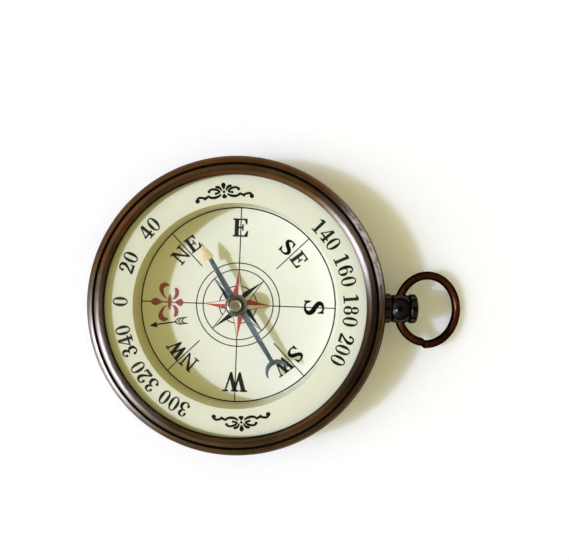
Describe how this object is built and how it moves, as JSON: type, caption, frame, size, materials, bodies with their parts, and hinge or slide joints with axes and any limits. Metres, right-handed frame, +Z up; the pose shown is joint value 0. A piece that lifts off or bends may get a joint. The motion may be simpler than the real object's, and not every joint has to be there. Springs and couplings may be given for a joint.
{
  "type": "map compass",
  "caption": "Round turned-brass map compass with a glass crystal over a sunk printed dial, a free needle on a pin, and a pendant carrying a split wire bow that swings.",
  "frame": {"origin": "middle of the flat base, on the surface that the case stands on", "axes": "+X from the middle of the case out along the pendant, +Z up through the crystal, +Y the third axis"},
  "size_m": [0.0959, 0.075, 0.013],
  "materials": {
    "case_bronze": "antique bronzed brass, polished on the edges, fine scratches",
    "dark_bronze": "dark antique bronze, semi-gloss, worn coppery on the high spots",
    "plain_brass": "satin brass",
    "needle_steel": "grey-blue tempered steel with a gilt arrow head",
    "pin_steel": "polished steel",
    "pan_tin": "dull tinned sheet",
    "printed_card": "matte ivory paper card, printed in black and red",
    "gasket_fibre": "matte black fibre",
    "jewel_glass": "polished agate or glass",
    "crystal_glass": "clear polished glass"
  },
  "bodies": {
    "case": {"case_body": "case_bronze", "bezel": "case_bronze", "crystal": "crystal_glass", "crystal_gasket": "gasket_fibre", "chapter_card": "printed_card", "dial_pan": "pan_tin", "well_liner": "printed_card", "dial_card": "printed_card", "pivot_bush": "plain_brass", "pivot_pin": "pin_steel", "pivot_washer": "plain_brass", "pivot_nut": "plain_brass", "pendant_stud": "dark_bronze", "pendant_collar": "dark_bronze", "pendant_button": "dark_bronze", "pendant_washer": "plain_brass", "pendant_nut": "plain_brass"},
    "needle": {"needle_blade": "needle_steel", "needle_collar": "dark_bronze", "needle_cap": "plain_brass", "needle_jewel": "jewel_glass"},
    "bow": {"bow_ring": "dark_bronze"}
  },
  "joints": [
    {"name": "needle_spin", "type": "hinge", "parent": "case", "child": "needle", "pos_m": [0, 0, 0.00795], "axis": [0, 0, 1], "continuous": true},
    {"name": "bow_swing", "type": "hinge", "parent": "case", "child": "bow", "pos_m": [0.04118, 0, 0.00688], "axis": [0, -1, 0], "range_deg": [-108, 148]}
  ]
}
